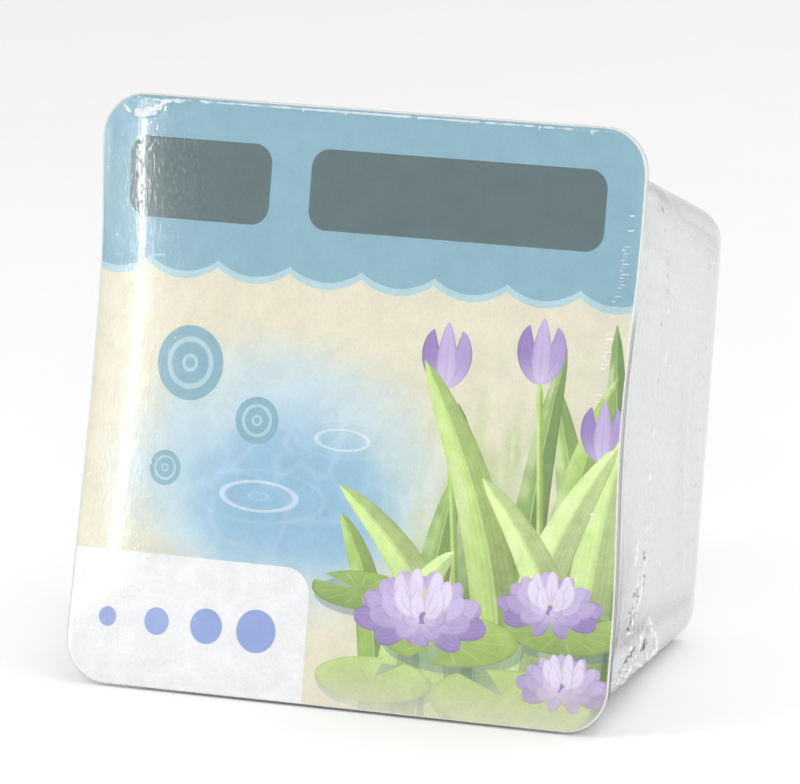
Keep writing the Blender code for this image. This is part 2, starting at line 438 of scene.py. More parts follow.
# The tall leaves behind the closed blooms and before them, as tall_leaves takes them
LEAVES_BEHIND = (
    (77, -6, 27, 10.0, 0.1), (68, -13, 12, 12.0, 0.5), (49, 9, 20, 10.0, 0.3), (38, -9, 4, 11.0, 0.0),
    (57, 16, 14, 11.5, 0.8), (24, 7, -12, 10.0, 0.4), (11, -12, -26, 9.0, 0.7),
)
LEAVES_BEFORE = (
    (44, -25, 14, 13.5, 0.3), (67, 11, 2, 13.0, 0.7), (29, -31, -19, 11.5, 0.6), (51, 24, -3, 12.5, 1.0),
    (62, -25, -14, 12.0, 0.9), (17, 14, -33, 10.0, 0.8),
)


def draw_print():
    """Every drawn shape of the print, from the back to the front."""
    shapes = tall_leaves(LEAVES_BEHIND, DEEP_GREEN, LEAF_GREEN)
    for root, tip, size in (((34, -80), (25, 9), 15), ((56, -80), (51, 12), 15), ((70, -80), (70, -6), 14)):
        shapes += closed_bloom(root, tip, size)
    shapes += tall_leaves(LEAVES_BEFORE, LEAF_GREEN, PALE_GREEN)
    shapes += floating_leaf((6, -45), 27, 2.6, mixed(LEAF_GREEN, DEEP_GREEN, 0.35))
    shapes += floating_leaf((62, -50), 34, 0.9, mixed(LEAF_GREEN, DEEP_GREEN, 0.2))
    shapes += floating_leaf((31, -55), 38, 4.3, LEAF_GREEN)
    shapes += bloom((58, -45), 14.5, 0.2)
    shapes += bloom((23, -50), 18.5, 0.5)
    shapes += floating_leaf((11, -67), 32, 1.2, mixed(LEAF_GREEN, PALE_GREEN, 0.4))
    shapes += floating_leaf((49, -69), 44, 2.1, mixed(LEAF_GREEN, PALE_GREEN, 0.25))
    shapes += bloom((63, -64), 13.0, 0.9)
    shapes.append(rounded_box((-90, -90), (-8, -41), 7.0, TAB_WHITE))
    for index in range(4):
        size = 5.0 + 2.0 * index
        shapes.append(disc((-64 + 14.0 * index, -58), size, size, PERIWINKLE, FLAT))
    for x, y, wide in ((-46, 8, 19), (-26, -5, 12), (-51, -19, 9)):
        for share, ink in ((1.0, TEAL), (0.70, PALE_TEAL), (0.56, TEAL), (0.24, PALE_TEAL), (0.14, TEAL)):
            shapes.append(disc((x, y), wide * share, wide * share, ink, FLAT))
    shapes.append(scalloped_band(32.6, 3.4, PALE_TEAL))
    shapes.append(scalloped_band(34.4, 3.4, TEAL))
    for left, right in ((-16, 65), (-67, -27)):
        shapes.append(rounded_box((left, 44), (right, 64.5), 5.0, SLATE))
    return shapes


def triangles_inside(outline, shapes):
    """Triangles that fill an outline and follow every drawn shape, with the frontmost shape of each."""
    steps = int(CARD_HALF / MILLIMETRE / LATTICE)
    inner = CARD_HALF / MILLIMETRE - BOARD_CORNER_RADIUS / MILLIMETRE
    reach = BOARD_CORNER_RADIUS / MILLIMETRE - LATTICE_MARGIN
    lattice = []
    for column in range(-steps, steps + 1):
        for row in range(-steps, steps + 1):
            x, y = column * LATTICE, row * LATTICE
            if math.hypot(max(abs(x) - inner, 0), max(abs(y) - inner, 0)) < reach:
                lattice.append(mathutils.Vector((x, y)))
    points = [mathutils.Vector(point) for point in outline]
    faces = [tuple(range(len(points)))]
    for shape in shapes:
        first = len(points)
        points += [mathutils.Vector(point) for point in shape["outline"]]
        faces.append(tuple(range(first, len(points))))
    made = mathutils.geometry.delaunay_2d_cdt(points + lattice, [], faces, 0, 1e-4)
    places, triangles, owners = made[0], made[2], made[5]
    kept = [(tuple(corners), tuple(owner)) for corners, owner in zip(triangles, owners) if 0 in owner]
    return places, kept


def refill_back(card):
    """Replace the plain rear face by triangles that can follow the warp."""
    select(card, "FACE", face_at(0.0))
    mesh = bmesh.from_edit_mesh(card.data)
    face = next(part for part in mesh.faces if part.select)
    loop = list(face.verts)
    outline = [(vert.co.x / MILLIMETRE, vert.co.z / MILLIMETRE) for vert in loop]
    if face.normal.y > 0:
        loop, outline = loop[::-1], outline[::-1]
    places, kept = triangles_inside(outline, [])
    mesh.faces.remove(face)
    verts = loop + [
        mesh.verts.new((place.x * MILLIMETRE, 0.0, place.y * MILLIMETRE)) for place in places[len(loop):]
    ]
    for corners, _ in kept:
        back_face = mesh.faces.new([verts[index] for index in reversed(corners)])
        back_face.material_index = 1
        back_face.smooth = True
    bmesh.update_edit_mesh(card.data)


def front_sheet():
    """The printed face as a flat mesh, with each face's ink, kind of shape, shade and map."""
    round_off = BOARD_ROUND[0][0]
    half = (CARD_HALF - round_off) / MILLIMETRE
    radius = (BOARD_CORNER_RADIUS - round_off) / MILLIMETRE
    shapes = draw_print()
    places, kept = triangles_inside(rounded_square(half, radius, 10, 3.0), shapes)
    data = bpy.data.meshes.new("printed_card")
    data.from_pydata(
        [(place.x * MILLIMETRE, -CARD_THICKNESS, place.y * MILLIMETRE) for place in places],
        [],
        [corners for corners, _ in kept],
    )
    count = len(data.polygons)
    inks = np.zeros((count, 3, 4))
    kinds = np.zeros(count)
    shades = np.zeros(count)
    maps = np.zeros((count, 3, 2))
    flat = np.array([(place.x, place.y) for place in places])
    corners = np.array([corners for corners, _ in kept])
    fronts = np.array([frontmost(owner, shapes) for _, owner in kept])
    for number, shape in enumerate(shapes, 1):
        if shape["kind"] == SHADE:
            continue
        own = np.flatnonzero(fronts == number)
        if not len(own):
            continue
        inks[own, :, :3] = shape["ink"]
        kinds[own] = shape["kind"]
        maps[own] = placed_on(shape, flat[corners[own]].reshape(-1, 2)).reshape(-1, 3, 2)
    for index, (_, owner) in enumerate(kept):
        shades[index] = max(owner) > fronts[index]
    data.attributes.new("ink", "FLOAT_COLOR", "CORNER").data.foreach_set("color", inks.ravel())
    data.attributes.new("kind", "FLOAT", "FACE").data.foreach_set("value", kinds)
    data.attributes.new("shade", "FLOAT", "FACE").data.foreach_set("value", shades)
    data.uv_layers.new(name="drawn").data.foreach_set("uv", maps.ravel())
    card = bpy.data.objects.new("printed_card", data)
    bpy.context.collection.objects.link(card)
    return card


def frontmost(owner, shapes):
    """The number of the frontmost drawn shape that holds a triangle, or 0 for the bare ground."""
    return max((number for number in owner if number and shapes[number - 1]["kind"] != SHADE), default=0)


def make_card():
    """The board: its printed face, its rounded cut edge drawn back from it, its back and its warp."""
    card = front_sheet()
    pick_only(card)
    bpy.ops.object.mode_set(mode="EDIT")
    select(card, "VERT", lambda vert: not vert.link_faces)
    bpy.ops.mesh.delete(type="VERT")
    select(card, "EDGE", lambda edge: edge.is_boundary)
    loops = [(inwards, -CARD_THICKNESS + deep) for inwards, deep in BOARD_ROUND[1:]]
    loops += [(inwards, -deep) for inwards, deep in reversed(BOARD_ROUND)]
    was_half, was_depth = CARD_HALF - BOARD_ROUND[0][0], -CARD_THICKNESS
    for inwards, depth in loops:
        half = CARD_HALF - inwards
        bpy.ops.mesh.extrude_edges_move(TRANSFORM_OT_translate={"value": (0, depth - was_depth, 0)})
        bpy.ops.transform.resize(value=(half / was_half, 1, half / was_half), center_override=(0, 0, 0))
        was_half, was_depth = half, depth
    bpy.ops.mesh.edge_face_add()
    select(card, "FACE", lambda face: face.calc_center_median().y > 0.00003 - CARD_THICKNESS)
    mesh = bmesh.from_edit_mesh(card.data)
    for face in mesh.faces:
        if face.select:
            face.material_index = 1
    bmesh.update_edit_mesh(card.data)
    refill_back(card)
    bpy.ops.mesh.select_all(action="SELECT")
    bpy.ops.mesh.normals_make_consistent(inside=False)
    bpy.ops.object.mode_set(mode="OBJECT")
    places = places_of(card)
    across, depth, up = places.T
    depth += card_back(across, up)
    set_places(card, places)
    smooth_by_angle(card, 50)
    lean_back(card)
    return card


class Wire:
    """A socket of a finish's nodes. Arithmetic on wires adds Math nodes, and node() adds any other."""

    def __init__(self, tree, socket=None):
        self.tree = tree
        self.socket = socket

    def node(self, kind, settings=None, sockets=None, output=0):
        """Add a node: first its settings, then the values or links of its sockets."""
        made = self.tree.nodes.new(kind)
        for name, value in (settings or {}).items():
            setattr(made, name, value)
        set_sockets(made, sockets or {})
        return Wire(self.tree, made.outputs[output])

    def maths(self, operation, *others):
        """A Math node on this value and any others."""
        return self.node("ShaderNodeMath", {"operation": operation}, dict(enumerate((self, *others))))

    def __add__(self, other):
        return self.maths("ADD", other)

    __radd__ = __add__

    def __mul__(self, other):
        return self.maths("MULTIPLY", other)

    __rmul__ = __mul__

    def __sub__(self, other):
        return self.maths("SUBTRACT", other)

    def __rsub__(self, other):
        return (self * -1) + other

    def __truediv__(self, other):
        return self.maths("DIVIDE", other)

    def __pow__(self, other):
        return self.maths("POWER", other)

    def ramp(self, low, high, start=0.0, end=1.0):
        """Ease from start to end as the value goes from low to high."""
        sockets = {0: self, 1: low, 2: high, 3: start, 4: end}
        return self.node("ShaderNodeMapRange", {"interpolation_type": "SMOOTHSTEP"}, sockets)

    def mix(self, first, second):
        """First colour where this value is 0, second where it is 1."""
        colours = {0: self, 6: opaque(first), 7: opaque(second)}
        return self.node("ShaderNodeMix", {"data_type": "RGBA"}, colours, 2)

    def tint(self, colour):
        """A colour made darker or brighter by this value."""
        return self.node("ShaderNodeVectorMath", {"operation": "SCALE"}, {0: colour, "Scale": self})

    def noise(self, scale, detail=2.0, roughness=0.5):
        """Soft noise at this place, from 0 to 1."""
        sockets = {"Vector": self, "Scale": scale, "Detail": detail, "Roughness": roughness}
        return self.node("ShaderNodeTexNoise", {}, sockets)

    def bumps(self, distance, strength=1.0):
        """Relief of this height, for a shader's Normal."""
        sockets = {"Strength": strength, "Distance": distance, "Height": self}
        return self.node("ShaderNodeBump", {}, sockets)

    def stretched(self, x, y, z):
        """This place with each axis times its own number."""
        return self.node("ShaderNodeVectorMath", {"operation": "MULTIPLY"}, {0: self, 1: (x, y, z)})

    def part(self, axis):
        """One axis of this place."""
        return self.node("ShaderNodeSeparateXYZ", {}, {0: self}, axis)

    def attribute(self, name, output):
        """What the mesh says under a name: 0 for a colour, 2 for a number."""
        return self.node("ShaderNodeAttribute", {"attribute_name": name}, {}, output)


def opaque(colour):
    """A colour with full alpha, where it isn't a wire already."""
    return colour if isinstance(colour, Wire) else (*colour, 1)


def new_finish(name):
    """A material, its Principled node, and its pattern space: across, deep and up the card in millimetres."""
    material = bpy.data.materials.new(name)
    material.use_nodes = True
    wires = Wire(material.node_tree)
    world = wires.node("ShaderNodeTexCoord", {}, {}, 3)
    place = wires.node(
        "ShaderNodeMapping",
        {"vector_type": "TEXTURE"},
        {"Vector": world, "Location": PACK_ORIGIN, "Rotation": (-LEAN, 0, 0), "Scale": (MILLIMETRE,) * 3},
    )
    return material, material.node_tree.nodes["Principled BSDF"], place


def set_sockets(shader, sockets):
    """Link wires to a node's sockets, or set their values."""
    for name, value in sockets.items():
        if isinstance(value, Wire):
            value.tree.links.new(value.socket, shader.inputs[name])
        else:
            shader.inputs[name].default_value = value


CREAM = (0.790, 0.755, 0.600)
POND_BLUE = (0.270, 0.500, 0.690)
POND_PALE = (0.560, 0.720, 0.800)
HAZE_GREEN = (0.500, 0.620, 0.270)
WATER_GLINT = (0.930, 0.970, 1.000)
LEAF_GLINT = (0.880, 0.900, 0.660)
SUNLIT_GREEN = (0.820, 0.880, 0.580)
# The rings on the pond: their middle across and up, and their reach; they are seen this much flattened
POND_RINGS = ((-24, -24, 17), (-2, -8, 12))
RINGS_FLATTENED = 0.36


def pond_ground(place, across, up):
    """The soft picture behind the drawn shapes: a pond with rings, and blurred growth at its right."""
    drift = place.noise(0.035, 3.0) - 0.5
    pool = (((across + 18) / 52) ** 2 + ((up + 20) / 38) ** 2 + drift * 0.9).ramp(1.15, 0.12)
    deep = (((across + 14) / 34) ** 2 + ((up + 24) / 26) ** 2 + drift * 0.8).ramp(1.1, 0.1)
    ground = pool.mix(CREAM, POND_PALE)
    ground = (deep * 0.85).mix(ground, POND_BLUE)
    wandering = place.noise(0.09, 2.0).stretched(9, 9, 9)
    bent = place.node("ShaderNodeVectorMath", {"operation": "ADD"}, {0: place, 1: wandering})
    cell_sockets = {"Vector": bent, "Scale": 0.065}
    cells = bent.node("ShaderNodeTexVoronoi", {"feature": "DISTANCE_TO_EDGE"}, cell_sockets)
    ground = (cells.ramp(0.09, 0.0) * pool * 0.10).mix(ground, WATER_GLINT)
    for ring_x, ring_y, reach in POND_RINGS:
        tall = reach * RINGS_FLATTENED
        out = (((across - ring_x) / reach) ** 2 + ((up - ring_y) / tall) ** 2) ** 0.5
        rings = (out * 13).maths("SINE").ramp(0.55, 1.0) * out.ramp(1.25, 0.55) * out.ramp(0.10, 0.25)
        ground = (rings * 0.5).mix(ground, WATER_GLINT)
    leafy = across.ramp(-2, 46) * up.ramp(24, -18)
    blurred = place.stretched(0.16, 0, 0.045).noise(1.0, 1.5).ramp(0.36, 0.66)
    ground = (leafy * blurred * 0.75).mix(ground, HAZE_GREEN)
    glints = place.stretched(0.22, 0, 0.07).noise(1.0, 1.0).ramp(0.56, 0.80)
    return (leafy * glints * 0.7).mix(ground, LEAF_GLINT)


def shaded_inks(place, kind):
    """The drawn shapes' inks, each shaded over its shape's own map: leaves, petals and floating leaves."""
    ink = place.attribute("ink", 0)
    drawn = place.node("ShaderNodeUVMap", {"uv_map": "drawn"})
    along = drawn.part(0)
    aside = drawn.part(1)
    edge = aside.maths("ABSOLUTE")
    wander = place.noise(0.25, 2.0)
    veins = (aside * 27 + wander * 3).maths("SINE") * 0.035
    lit = aside.ramp(-0.20, 0.20, 0.72, 1.16) + along.ramp(0.0, 1.0, -0.22, 0.20)
    lit = lit - edge.ramp(0.80, 1.0) * 0.16
    leaf = (lit + veins + (wander - 0.5) * 0.40).tint(ink)
    sunlit = aside.ramp(0.15, 0.55) * along.ramp(0.35, 0.8) * place.noise(0.11, 1.0).ramp(0.40, 0.65)
    leaf = (sunlit * 0.55).mix(leaf, SUNLIT_GREEN)
    leaf = (edge.ramp(0.075, 0.03) * 0.55).mix(leaf, PALE_GREEN)
    striped = (aside * 17 + wander * 2).maths("SINE") * 0.06
    petal = (1.06 - edge.ramp(0.55, 1.0) * 0.20 + striped).tint(ink)
    petal = (along.ramp(0.55, 0.0) * 0.50).mix(petal, PALE_LILAC)
    petal = (edge.ramp(0.14, 0.0) * along.ramp(1.0, 0.2) * 0.35).mix(petal, VIOLET)
    out = (along**2 + aside**2) ** 0.5
    turn = aside.maths("ARCTAN2", along)
    spokes = (turn * 13).maths("COSINE").ramp(0.93, 1.0) * out.ramp(0.05, 0.3) * out.ramp(0.98, 0.7)
    pad_tone = aside.ramp(-1.0, 1.0, 0.86, 1.12) + (wander - 0.5) * 0.35 - out.ramp(0.90, 1.0) * 0.16
    pad = (spokes * 0.42).mix(pad_tone.tint(ink), PALE_GREEN)
    inked = ink
    for number, shaded in ((LEAF, leaf), (PETAL, petal), (PAD, pad)):
        inked = kind.maths("COMPARE", number, 0.1).mix(inked, shaded)
    return inked


def print_finish():
    """The drawn shapes over the pond ground, all printed on a speckled recycled stock."""
    material, shader, place = new_finish("card_print")
    up = place.part(2)
    kind = place.attribute("kind", 2)
    ground = pond_ground(place, place.part(0), up)
    picture = kind.ramp(0.4, 0.6).mix(ground, shaded_inks(place, kind))
    picture = (place.attribute("shade", 2) * 0.45).mix(picture, WATER_SHADE)
    flat = kind.maths("COMPARE", FLAT, 0.1)
    mist = up.ramp(-58, -80) * (1 - flat) * 0.80
    picture = mist.mix(picture, CREAM)
    speckle = place.noise(1.7, 3.0, 0.7)
    cloud = place.noise(0.16, 4.0, 0.6)
    fibres = place.stretched(2.6, 0, 0.8).noise(1.0, 2.0, 0.6)
    stock = speckle.ramp(0.3, 0.7, -0.035, 0.035) + cloud.ramp(0.3, 0.7, -0.040, 0.040)
    stock = stock + fibres.ramp(0.3, 0.7, -0.02, 0.02)
    picture = (stock + 1.0).tint(picture)
    flecks = place.stretched(1.4, 0, 0.45).noise(1.0, 2.0, 0.6)
    shine = {"Roughness": speckle.ramp(0.2, 0.8, 0.32, 0.40), "Specular IOR Level": 0.7}
    set_sockets(shader, {"Base Color": picture, "Normal": flecks.bumps(0.000026), **shine})
    return material


def pot_finish():
    """White moulded plastic: satin, with a fine grain and faint flow marks."""
    material, shader, place = new_finish("pot_white")
    flow = place.noise(0.05, 3.0)
    grain = place.noise(2.2, 2.0, 0.6)
    tone = flow.ramp(0.3, 0.7).mix((0.85, 0.855, 0.85), (0.90, 0.905, 0.90))
    satin = {"Roughness": grain.ramp(0.2, 0.8, 0.42, 0.56), "Normal": grain.bumps(0.00003, 0.3)}
    set_sockets(shader, {"Base Color": tone, **satin})
    return material


def board_finish():
    """The bare board of the cut edge and the back: off-white, with a faint fibre."""
    material, shader, place = new_finish("raw_board")
    fibre = place.noise(0.9, 4.0, 0.7)
    layers = place.stretched(0.2, 9, 0.2).noise(1.0, 2.0)
    tone = fibre.ramp(0.3, 0.7).mix((0.78, 0.775, 0.75), (0.86, 0.86, 0.845))
    tone = (layers.ramp(0.5, 0.8) * 0.25).mix(tone, (0.66, 0.65, 0.62))
    set_sockets(shader, {"Base Color": tone, "Roughness": 0.8, "Normal": fibre.bumps(0.00004, 0.4)})
    return material


pot.data.materials.append(pot_finish())
card = make_card()
card.data.materials.append(print_finish())
card.data.materials.append(board_finish())
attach(card, "root")
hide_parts("lid_card")

# The film is one clear polyolefin wrap, heat-shrunk until it is taut from the card's edge to the base's edge.
# It has two columns of vent holes down each side, a hot-cut seam down its right side, and the puckers that
# the heat left.
FILM_CORNER_STEPS = 8
FILM_SIDE_STEPS = 64
FILM_DEPTH_STEPS = 50
FILM_BEND = 0.00070
FILM_SNUG = 0.0003
SNUG_FRONT = CARD_THICKNESS + FILM_SNUG
SNUG_HALF = CARD_HALF + FILM_SNUG
SNUG_BASE_HALF = POT_BASE_HALF + FILM_OUTSIDE
SNUG_BASE_DEPTH = POT_DEPTH + FILM_OUTSIDE
VENT_RADIUS = 0.00034
VENT_LIP = 0.00015
VENT_PITCH = 0.0070
VENT_COUNT = 12
VENT_MIDDLE_UP = 0.0095
VENT_DEPTHS = (0.0085, POT_DEPTH - 0.0095)
# The seam's route on the right side, in millimetres: back from the card, then up it
SEAM = (
    (0, 62.5), (12, 61), (26, 59), (37, 56), (37.5, 50.5), (35.5, 46), (33, 41.5), (34, 38), (36, 34.5),
    (33, 30), (32.5, 27), (35, 21.5), (37, 18.5), (35.5, 14), (36, 5), (33, -3), (33, -17), (35, -23),
    (33.5, -30), (33, -36.5),
)
GATHERS = ((33, -32), (29, -40), (23, -50))
# The top of the triangular pucker that the gathers run into: how deep, and how far up
PUCKER_TOP = (42.5, -46.5)
# How far behind the film's front its faces still count as part of it, in metres
FRONT_SLACK = 0.0003
# The pucker's creases and the seam's dots, raised a little and painted dark as shade (below 0) or bright as
# highlight: half their width, that tone, and where they run
PUCKER = (
    (1.4, -1.0, (33, -36.5), (33, -40), (31.5, -42.5)),
    (1.4, -1.0, (27, -40), (26, -45), (26, -48.5)),
    (1.9, -1.3, (23.7, -40), (21.5, -44), (22.5, -48.5)),
    (2.2, -0.8, (40, -48.5), (30, -53.5)),
    (1.7, -1.2, (45.5, -51), (43.5, -54.7), (40.5, -55.8)),
    (1.6, -0.9, (33, -55), (28.8, -56.2), (21.5, -59)),
    (1.1, 0.8, (44, -47.5), (52.5, -51), (61, -56.5)),
    (1.8, 0.5, (62, -57), (42, -59.5), (24, -62.5), (10, -66)),
    (1.3, 1.1, (30.5, -40), (28.5, -42), (28, -45)),
    (0.9, 0.9, (26, -38.5), (24, -43), (24.8, -48)),
    (0.9, 0.8, (36, -50.5), (31, -53.5), (26, -55)),
    (1.8, 0.6, (33.5, -24), (25.5, -27), (22, -34)),
    (1.3, 0.9, (40, -50), (38, -54)),
    (1.5, -0.5, (67.6, -48), (67.6, -52)),
    (1.5, -0.5, (79, -48.5), (79, -52)),
    (1.0, 0.5, (34, 0), (33, -12)),
    (1.2, 0.9, (38, 36.5), (43, 33), (38.5, 30)),
    (1.8, 1.2, (42.5, 19), (42.5, 17.5)),
    (1.1, -1.0, (39.5, 20), (40, 18.8)),
    (1.1, -1.0, (45.5, 20), (45, 18.8)),
    (1.1, -1.3, (33.7, 38.8), (33.7, 37.8)),
    (1.1, -1.3, (32.5, 28.5), (32.5, 27.5)),
    (1.1, -1.0, (38.5, 2.5), (38.5, 1.5)),
    (0.9, -1.3, (38, 55.5), (38, 55.3)),
    (0.9, -1.1, (37.6, 50.6), (37.5, 50.2)),
    (0.9, -1.1, (34.8, 45.6), (35, 45.2)),
)
# The film's fold over the card's left edge keeps one slope all the way, so that its highlight is straight
RIDGE_SPAN = (-0.0748, -0.0732, -0.0560, -0.0505, -0.0330)
RIDGE_TOP = 0.0738
RIDGE_FOOT = (-0.0500, -0.0670)
# How far away the heights are that a crease's own height is compared with, in millimetres
CREASE_STEP = 0.40
# The broad painted highlight streak down the right side's film near the base
PAINTED_HIGHLIGHT_STREAK = ((72, 14), (75, -6), (80, -36))
# The right side's soft folds: from where, to where, half their width and their height
SIDE_FOLDS = (
    ((31, 14), (29, -26), 0.9, 0.18), ((35, 8), (33, -24), 1.1, 0.20), ((40, 18), (38, -14), 1.3, 0.12),
    ((16, 20), (15, -34), 1.6, 0.14), ((57, -2), (60, -44), 2.0, 0.14), ((7, 40), (8, -10), 1.4, 0.14),
    ((22, -22), (17, -44), 1.6, 0.20), ((27, -24), (20, -40), 1.4, 0.22), ((35, -24), (31, -36), 1.2, 0.22),
)
# The same at the card's top left corner, and the painted highlight strokes there with their strength
CORNER_FOLDS = (
    ((-65.0, 70.0), (-58.8, 71.0), 1.2, 0.16), ((-58.8, 71.0), (-56.8, 73.2), 0.9, 0.14),
    ((-70.5, 72.0), (-67.0, 70.0), 0.9, 0.08),
)
CORNER_STROKES = (
    ((-65.0, 69.9), (-58.6, 71.2), 1.5, 1.2), ((-58.8, 71.2), (-56.6, 73.3), 0.9, 1.0),
    ((-57.0, 73.4), (-51.5, 73.8), 0.5, 1.0), ((-65.4, 74.1), (-57.0, 73.5), 0.35, 0.5),
)
# The fine painted highlight dashes down the card's right edge, in groups: the topmost's height, how many, how
# far apart, their middle across and their strength
DASH_GROUPS = (
    (53.7, 2, 3.7, 72.5, 0.8), (46.0, 13, 0.86, 71.2, 0.6), (33.6, 5, 1.3, 70.0, 0.6),
    (24.0, 9, 1.05, 69.0, 0.7), (9.0, 2, 1.7, 68.3, 0.8), (-20.4, 1, 1.0, 68.9, 1.2),
    (-31.0, 4, 1.6, 70.5, 0.4),
)
# The short creases under the card's top edge, painted as highlights: where across, and how long
TOP_CREASES = ((-19.0, 2.2), (-7.0, 2.0), (7.5, 4.2), (13.0, 3.2), (27.5, 4.0), (46.0, 2.0), (60.0, 2.4))
TOP_CREASES_FROM = 74.6
# How far a marked crease stands out, in millimetres, and how much it counts as a sharp one, whose tone is
# painted light or dark
MARK_RELIEF = 0.12
MARK_CREASE = 0.19
# How much higher than the film's own texture the board's grain stands where the film clings to it
FLECK_RELIEF = 1.3
# How milky the film's specks are, painted as glints round the strip light's reflection on the left
GLINT_SPECK_HAZE = 0.24
# How far back from the card's right edge the film is painted dark, as the shade under the card's overhang, in
# millimetres
SHADE_BESIDE_CARD_REACH = 4.6
# How far the taut film stands clear of the pot's corners at the card, where that ends, and what it keeps
CLEAR_AT_CARD = 9.2
CLEAR_UNTIL = 97.6
KEPT_CLEAR = 0.2
# How cloudy the film is round the card's edge, which paints its bright edge highlight, and how far from that
# edge's middle, in metres
RIM_HIGHLIGHT_CLOUD = 0.30
RIM_CLOUD_REACH = 0.0014


def film_blank():
    """The taut wrap before its puckers: round the card's edge, back to the base, and across both ends."""
    film = rounded_plate(
        "clear_wrap", SNUG_HALF, BOARD_CORNER_RADIUS + FILM_SNUG, 0.0, FILM_CORNER_STEPS, FILM_SIDE_STEPS
    )
    select(film, "FACE", face_at(0.0))
    extrude_back(-SNUG_FRONT)
    select(film, "FACE", face_at(0.0))
    extrude_back(SNUG_BASE_DEPTH, SNUG_BASE_HALF / SNUG_HALF)
    bpy.ops.mesh.select_all(action="SELECT")
    bpy.ops.mesh.normals_make_consistent(inside=False)
    select(film, "EDGE", lambda edge: abs(edge.verts[0].co.y - edge.verts[1].co.y) > POT_DEPTH / 2)
    bpy.ops.mesh.subdivide_edgering(number_cuts=FILM_DEPTH_STEPS - 1, interpolation="LINEAR", smoothness=0)
    for depth in (-SNUG_FRONT, SNUG_BASE_DEPTH):
        select(film, "EDGE", edge_along(depth))
        bpy.ops.mesh.bevel(offset=FILM_BEND, segments=3)
    for depth in (-SNUG_FRONT, SNUG_BASE_DEPTH):
        select(film, "FACE", face_at(depth))
        bpy.ops.mesh.delete(type="ONLY_FACE")
        select(film, "EDGE", lambda edge: edge.is_boundary and edge_along(depth)(edge))
        bpy.ops.mesh.fill_grid(span=FILM_SIDE_STEPS + FILM_CORNER_STEPS, offset=0, use_interp_simple=True)
    bpy.ops.mesh.select_all(action="SELECT")
    bpy.ops.mesh.normals_make_consistent(inside=False)
    return film


def refine(film, wanted):
    """Halve the mesh where the film's creases are finer than it."""
    centres = np.array([face.calc_center_median() for face in bmesh.from_edit_mesh(film.data).faces])
    picked = iter(wanted(*centres.T))
    select(film, "FACE", lambda face: next(picked))
    bpy.ops.mesh.subdivide(number_cuts=1)


def on_right_side(x, y, z):
    """Whether faces lie on the side where the seam and its puckers are."""
    return (x > 0.045) & (y > 0.0006) & (np.abs(z) < 0.0695)


def near_seam(x, y, z):
    """Whether faces lie on the seam or in the pucker that it ends in."""
    deep, up = y / MILLIMETRE, z / MILLIMETRE
    puckered = (up < -28) & (deep < 66) & (deep < 86 + up)
    return on_right_side(x, y, z) & ((from_path(deep, up, SEAM)[0] < 2.2) | puckered)


def most_crumpled(x, y, z):
    """Whether faces lie in the gathers or in the triangular pucker."""
    deep, up = y / MILLIMETRE, z / MILLIMETRE
    gathered = from_path(deep, up, GATHERS)[0] < 8
    return on_right_side(x, y, z) & (gathered | (triangle_share(deep, up) > 0))


def taut_taper(depth):
    """How wide the wrap is at a depth, as a share of its width at the card."""
    return 1 + (SNUG_BASE_HALF / SNUG_HALF - 1) * held(depth / SNUG_BASE_DEPTH)


def crinkle(first, second, size, seed):
    """Soft noise between -1 and 1 at places given in millimetres, one wave about every size."""
    return np.array([mathutils.noise.noise((a / size, b / size, seed)) for a, b in zip(first, second)])


def from_path(first, second, path):
    """The distance of places from a bent line, and how far along it they are, in its own units."""
    best = np.full(len(first), 1e9)
    reached = np.zeros(len(first))
    gone = 0.0
    for (ax, ay), (bx, by) in zip(path, path[1:]):
        length = math.hypot(bx - ax, by - ay)
        along = held(((first - ax) * (bx - ax) + (second - ay) * (by - ay)) / length**2)
        away = np.hypot(first - ax - along * (bx - ax), second - ay - along * (by - ay))
        reached = np.where(away < best, gone + along * length, reached)
        best = np.minimum(best, away)
        gone += length
    return best, reached


def near(first, second, path, reach, power):
    """One on a bent line, and nothing beyond a distance from it."""
    return bump(from_path(first, second, path)[0], reach, power)


def fold(first, second, start, end, width, height):
    """A narrow ridge from one place to another that dies away at both ends."""
    away, along = from_path(first, second, (start, end))
    length = math.dist(start, end)
    return height * bump(away, width, 2) * bump(along - length / 2, length / 2 + 0.01, 1)


def triangle_share(deep, up):
    """How far inside the triangular pucker low on the right side places are, from 0 to 1."""
    top_deep, top_up = PUCKER_TOP
    left = top_up + 0.57 * (deep - top_deep)
    right = top_up - 0.49 * (deep - top_deep)
    return held((np.minimum(left, right) - up) / 1.4)


def right_side_relief(deep, up):
    """How far the right side's film stands out, in millimetres, at a depth and a height in millimetres."""
    away, along = from_path(deep, up, SEAM)
    beaded = 0.5 + 0.9 * crinkle(along, along * 0, 2.2, 3.1)
    out = 0.24 * beaded * bump(away, 1.1, 2)
    out += 0.16 * crinkle(deep, up * 0.08, 3.6, 7.7) * bump(deep - 34, 34, 1)
    out += 0.06 * crinkle(deep, up, 8.0, 1.3)
    for start, end, width, height in SIDE_FOLDS:
        out += fold(deep, up, start, end, width, height)
    gathered = near(deep, up, GATHERS, 6.5, 0.7)
    inside = triangle_share(deep, up)
    crumple = 0.55 * crinkle(deep * 0.62, up, 1.25, 5.0) + 0.30 * crinkle(deep * 0.5, up * 0.9, 2.6, 8.4)
    return out + np.maximum(gathered * 0.8, inside) * crumple


def streaked(deep, up):
    """Fine folds, between -1 and 1: down the gathers, and fanned out from the triangular pucker's top."""
    gathered = crinkle(0.74 * deep - 0.67 * up, 0.2 * deep + 0.22 * up, 1.5, 9.2)
    turn = np.arctan2(deep - 43, -46 - up)
    fanned = crinkle(turn * 8, np.hypot(deep - 43, up + 46) * 0.25, 1.0, 6.1)
    return np.where(triangle_share(deep, up) > 0, fanned, gathered)


